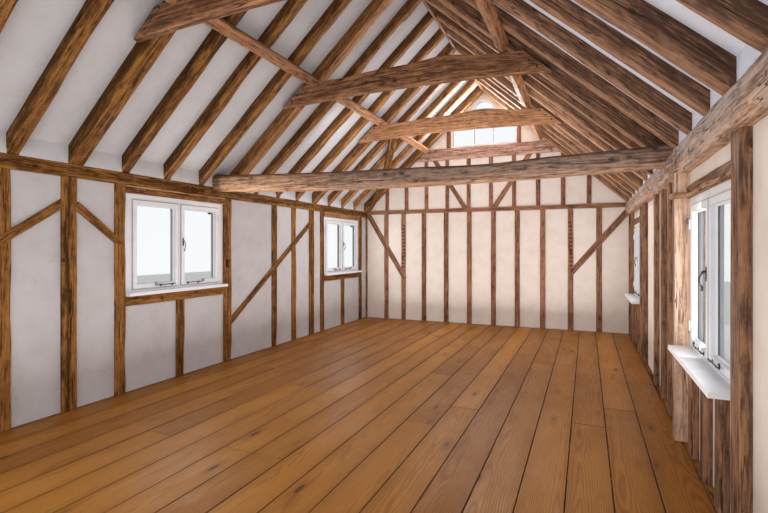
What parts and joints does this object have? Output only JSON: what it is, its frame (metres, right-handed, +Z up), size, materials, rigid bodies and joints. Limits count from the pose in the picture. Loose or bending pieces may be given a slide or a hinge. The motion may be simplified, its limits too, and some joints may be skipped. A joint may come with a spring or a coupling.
{
  "type": "timber-framed hall with open roof",
  "caption": "Timber-framed hall, open at one end, with plaster panels, casement windows, board floor, tie beam and an open collar-and-purlin roof on rafters.",
  "frame": {"origin": "ground level at the middle of the footprint", "axes": "+Y along the ridge from the open end to the gable, +X to the right-hand wall, +Z up"},
  "size_m": [5.06, 7.645, 4.4341],
  "materials": {
    "golden_timber": "aged, waxed",
    "brown_timber": "aged, matte",
    "red_timber": "aged, matte",
    "grey_timber": "weathered, matte",
    "floor_pine": "varnished",
    "joist_timber": "sawn",
    "white_plaster": "matte paint",
    "warm_plaster": "matte paint",
    "white_paint": "satin paint",
    "glazing": "clear",
    "roof_tile": "matte clay"
  },
  "bodies": {
    "root": {"floor_joists": "joist_timber", "floor_boards": "floor_pine", "left_sole_plate": "golden_timber", "right_sole_plate": "brown_timber", "gable_sole_plate": "red_timber", "left_wall_plate": "golden_timber", "right_wall_plate": "brown_timber", "left_posts": "golden_timber", "right_posts": "brown_timber", "left_studs": "golden_timber", "right_studs": "brown_timber", "left_braces": "golden_timber", "right_braces": "brown_timber", "left_window_rails": "golden_timber", "right_window_rails": "brown_timber", "left_plaster": "white_plaster", "right_plaster": "white_plaster", "left_window_frames": "white_paint", "right_window_frames": "white_paint", "left_window_glass": "glazing", "right_window_glass": "glazing", "left_window_sills": "white_paint", "right_window_sills": "white_paint", "gable_mid_rail": "red_timber", "gable_lower_studs": "red_timber", "gable_upper_studs": "red_timber", "gable_lower_braces": "red_timber", "gable_upper_braces": "red_timber", "gable_collar": "red_timber", "gable_plaster": "warm_plaster", "gable_window_frame": "white_paint", "gable_window_glass": "glazing", "tie_beam": "grey_timber", "collars": "brown_timber", "left_purlins": "red_timber", "right_purlins": "red_timber", "left_wind_brace": "golden_timber", "ridge_board": "brown_timber", "left_common_rafters": "golden_timber", "right_common_rafters": "brown_timber", "left_principal_rafters": "golden_timber", "right_principal_rafters": "brown_timber", "left_roof_lining": "white_plaster", "right_roof_lining": "white_plaster", "left_eaves_plaster": "white_plaster", "right_eaves_plaster": "white_plaster", "left_roof_cover": "roof_tile", "right_roof_cover": "roof_tile", "ridge_tiles": "roof_tile"}
  },
  "joints": []
}
